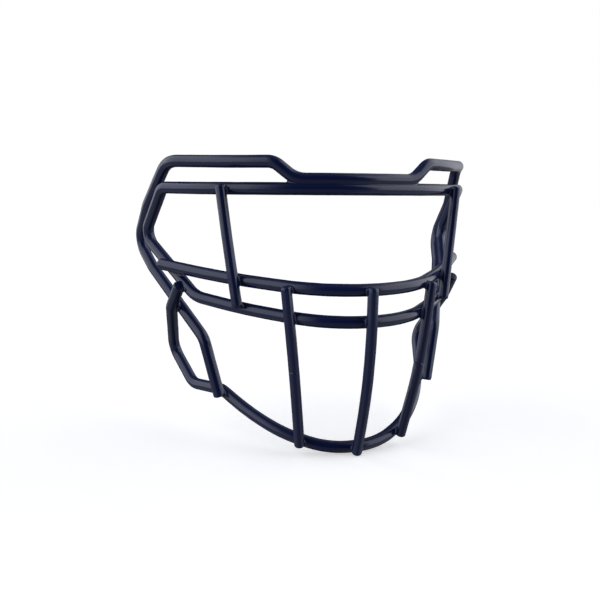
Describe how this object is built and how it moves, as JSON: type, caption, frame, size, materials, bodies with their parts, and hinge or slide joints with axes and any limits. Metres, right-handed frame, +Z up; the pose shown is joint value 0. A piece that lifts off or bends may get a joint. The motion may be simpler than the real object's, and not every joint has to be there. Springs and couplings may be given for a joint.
{
  "type": "american football face guard",
  "caption": "Welded wire face guard for an American football helmet: an outer loop, an eye ring, nose and jaw bars and thinner uprights, coated dark navy.",
  "frame": {"origin": "centre of the brow bar on its centre line, on the plane of symmetry", "axes": "+X to the wearer's left, -Y forward, away from the face, +Z up; X = 0 is the plane of symmetry"},
  "size_m": [0.227, 0.1378, 0.1761],
  "materials": {
    "main_wire": "dark navy polymer coat, satin to semi-gloss, over steel wire",
    "upright_wire": "the same dark navy coat over the thinner steel wire",
    "weld": "the same dark navy coat, pooled over the weld"
  },
  "bodies": {
    "root": {"outer_loop": "main_wire", "eye_ring": "main_wire", "upper_nose_bar": "main_wire", "jaw_bar": "main_wire", "right_eye_upright": "upright_wire", "left_eye_upright": "upright_wire", "right_jaw_upright": "upright_wire", "left_jaw_upright": "upright_wire", "centre_upright": "upright_wire", "brow_lap_welds": "weld", "brow_upright_welds": "weld", "cheek_loop_side_welds": "weld", "cheek_loop_top_welds": "weld", "elbow_lap_welds": "weld", "jaw_upright_foot_welds": "weld", "jaw_upright_middle_welds": "weld", "jaw_upright_top_welds": "weld", "lower_nose_upright_welds": "weld", "nose_bar_end_welds": "weld", "outer_loop_end_welds": "weld", "upper_nose_upright_welds": "weld"}
  },
  "joints": []
}
